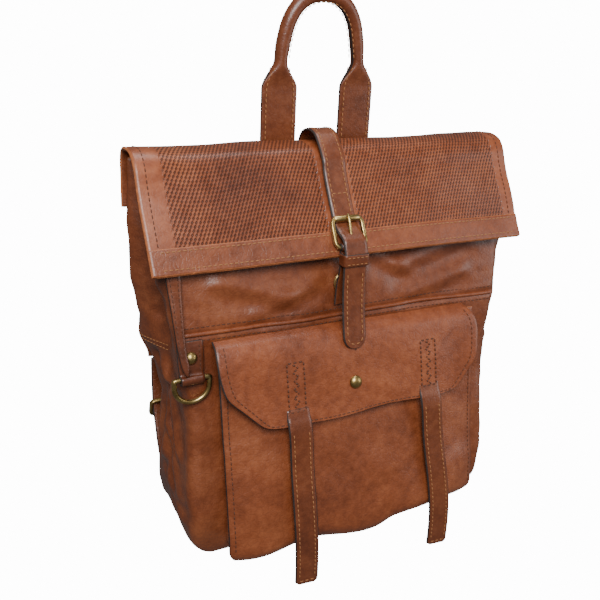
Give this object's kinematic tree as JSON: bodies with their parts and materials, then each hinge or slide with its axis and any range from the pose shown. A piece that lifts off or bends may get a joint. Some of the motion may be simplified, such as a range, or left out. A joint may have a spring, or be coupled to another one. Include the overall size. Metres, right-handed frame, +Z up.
{
  "type": "leather backpack",
  "caption": "Fold-over leather backpack with a buckled top flap, a flapped front pocket with hanging straps, side rings, a round grip handle and shoulder straps.",
  "frame": {"origin": "the point on the underside of the handle's round grip where the bag hangs", "axes": "+Z up, +Y towards the wearer's back, +X to the right as the front is faced"},
  "size_m": [0.32, 0.1654, 0.444],
  "materials": {
    "leather": "semi-gloss pull-up leather with dark edge paint",
    "embossed_leather": "leather embossed with a fine staggered dash",
    "lining_cloth": "plain woven cotton lining",
    "antique_brass": "antique brass, worn bright on the high points",
    "zip_tape": "woven zip tape"
  },
  "bodies": {
    "root": {"front_panel_upper": "leather", "front_panel_lower": "leather", "gusset_left": "leather", "gusset_right": "leather", "base_panel": "leather", "back_panel": "leather", "body_lining": "lining_cloth", "front_piping": "leather", "zip_tape_front": "zip_tape", "zip_tape_back": "zip_tape", "flap_back_yoke": "embossed_leather", "closing_strap_back": "leather", "magnetic_snap_socket": "antique_brass", "pocket_front": "leather", "pocket_bellows_left": "leather", "pocket_bellows_right": "leather", "pocket_base": "leather", "pocket_hem": "leather", "pocket_snap_socket": "antique_brass", "handle": "leather", "shoulder_yoke": "leather", "ring_tab": "leather", "tab_rivet": "antique_brass", "side_strap_root": "leather", "shoulder_strap_left": "leather", "lower_strap_left": "leather", "corner_tab_left": "leather", "strap_adjuster_left": "antique_brass", "shoulder_strap_right": "leather", "lower_strap_right": "leather", "corner_tab_right": "leather", "strap_adjuster_right": "antique_brass"},
    "top_flap": {"top_flap": "embossed_leather", "top_flap_lining": "lining_cloth", "flap_hem_band": "leather", "closing_strap": "leather", "buckle_strap": "leather", "strap_keeper": "leather", "magnetic_snap_stud": "antique_brass"},
    "strap_tail": {"strap_tail": "leather"},
    "buckle_frame": {"buckle_frame": "antique_brass"},
    "buckle_roller": {"buckle_roller": "antique_brass"},
    "buckle_prong": {"buckle_prong": "antique_brass"},
    "pocket_flap": {"pocket_flap": "leather", "pocket_flap_lining": "lining_cloth", "pocket_snap_cap": "antique_brass", "hanging_strap_root_left": "leather", "hanging_strap_root_right": "leather"},
    "hanging_strap_left": {"hanging_strap_left": "leather"},
    "hanging_strap_right": {"hanging_strap_right": "leather"},
    "side_ring": {"side_ring": "antique_brass"},
    "side_strap": {"side_strap": "leather"},
    "zip_slider": {"zip_slider": "antique_brass"},
    "zip_puller": {"zip_puller": "antique_brass"}
  },
  "joints": [
    {"name": "top_flap_hinge", "type": "hinge", "parent": "root", "child": "top_flap", "pos_m": [0, -0.02, -0.1018], "axis": [-1, 0, 0], "range_deg": [0, 120]},
    {"name": "strap_tail_lift", "type": "hinge", "parent": "top_flap", "child": "strap_tail", "pos_m": [-0.007, -0.0867, -0.1822], "axis": [-1, 0, 0], "range_deg": [0, 112.5]},
    {"name": "buckle_frame_hinge", "type": "hinge", "parent": "top_flap", "child": "buckle_frame", "pos_m": [-0.007, -0.07841, -0.16759], "axis": [1, 0, 0], "range_deg": [0, 8]},
    {"name": "buckle_prong_hinge", "type": "hinge", "parent": "buckle_frame", "child": "buckle_prong", "pos_m": [-0.007, -0.07841, -0.16759], "axis": [1, 0, 0], "range_deg": [0, 6]},
    {"name": "buckle_roller_spin", "type": "hinge", "parent": "buckle_frame", "child": "buckle_roller", "pos_m": [-0.007, -0.06769, -0.14896], "axis": [-1, 0, 0], "continuous": true},
    {"name": "pocket_flap_hinge", "type": "hinge", "parent": "root", "child": "pocket_flap", "pos_m": [0, -0.0785, -0.2292], "axis": [-1, 0, 0], "range_deg": [0, 90]},
    {"name": "hanging_strap_left_bend", "type": "hinge", "parent": "pocket_flap", "child": "hanging_strap_left", "pos_m": [-0.057, -0.1018, -0.2956], "axis": [-1, 0, 0], "range_deg": [-90, 0]},
    {"name": "hanging_strap_right_bend", "type": "hinge", "parent": "pocket_flap", "child": "hanging_strap_right", "pos_m": [0.065, -0.1018, -0.2956], "axis": [-1, 0, 0], "range_deg": [-90, 0]},
    {"name": "side_ring_swing", "type": "hinge", "parent": "root", "child": "side_ring", "pos_m": [-0.134, -0.0804, -0.255], "axis": [-1, 0, 0], "range_deg": [0, 85]},
    {"name": "side_strap_swing", "type": "hinge", "parent": "root", "child": "side_strap", "pos_m": [-0.143, -0.0694, -0.1794], "axis": [-1, 0, 0], "range_deg": [0, 40]},
    {"name": "zip_slide", "type": "slide", "parent": "root", "child": "zip_slider", "axis": [1, 0, 0], "range_m": [0, 0.25]},
    {"name": "zip_puller_hinge", "type": "hinge", "parent": "zip_slider", "child": "zip_puller", "pos_m": [-0.128, -0.0166, -0.1298], "axis": [0, -1, 0], "range_deg": [0, 170]}
  ],
  "couplings": [
    {"joint": "strap_tail_lift", "follows": "pocket_flap_hinge", "ratio": 1.25},
    {"joint": "hanging_strap_left_bend", "follows": "pocket_flap_hinge", "ratio": -1},
    {"joint": "hanging_strap_right_bend", "follows": "pocket_flap_hinge", "ratio": -1}
  ]
}
